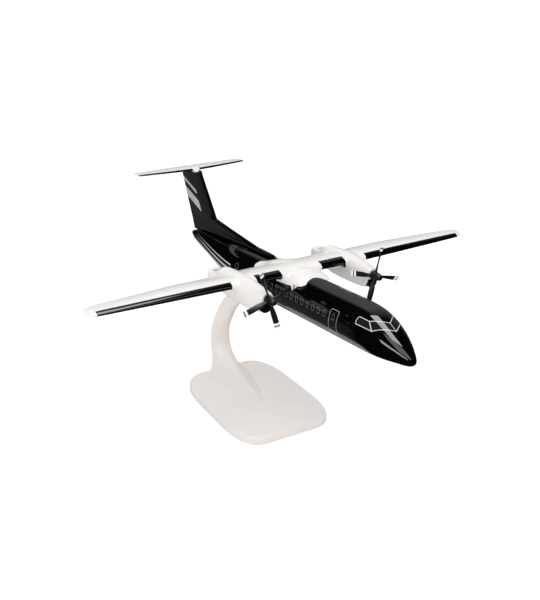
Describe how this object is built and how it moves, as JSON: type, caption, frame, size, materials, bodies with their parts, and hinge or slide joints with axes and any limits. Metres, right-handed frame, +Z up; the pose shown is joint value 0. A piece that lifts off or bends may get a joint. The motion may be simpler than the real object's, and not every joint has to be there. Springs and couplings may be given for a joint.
{
  "type": "desk model of a turboprop airliner on a stand",
  "caption": "Desk model of a high-wing airliner with a T-tail and free-turning propellers, held nose-up by a curved arm on a flat stand.",
  "frame": {"origin": "middle of the stand's flat underside", "axes": "+Z up, -Y towards the nose, +X towards the aircraft's left wing tip"},
  "size_m": [0.2744, 0.2685, 0.1459],
  "materials": {
    "airframe_black": "gloss black moulded plastic",
    "airframe_white": "gloss warm white moulded plastic",
    "propeller_black": "satin black plastic with white tip bands",
    "opening_black": "matt black openings",
    "stand_white": "satin warm white plastic"
  },
  "bodies": {
    "root": {"stand_base": "stand_white", "stand_arm": "stand_white", "fuselage": "airframe_black", "fin": "airframe_black", "wing": "airframe_white", "tailplane": "airframe_white", "nacelle_left": "airframe_white", "nacelle_right": "airframe_white", "exhaust_left": "opening_black", "exhaust_right": "opening_black", "intake_left": "opening_black", "intake_right": "opening_black"},
    "propeller_left": {"propeller_left": "propeller_black"},
    "propeller_right": {"propeller_right": "propeller_black"}
  },
  "joints": [
    {"name": "propeller_left_spin", "type": "hinge", "parent": "root", "child": "propeller_left", "pos_m": [0.038, -0.0724, 0.11755], "axis": [0, 0.9945, -0.1045], "continuous": true},
    {"name": "propeller_right_spin", "type": "hinge", "parent": "root", "child": "propeller_right", "pos_m": [-0.038, -0.0724, 0.11755], "axis": [0, 0.9945, -0.1045], "continuous": true}
  ]
}
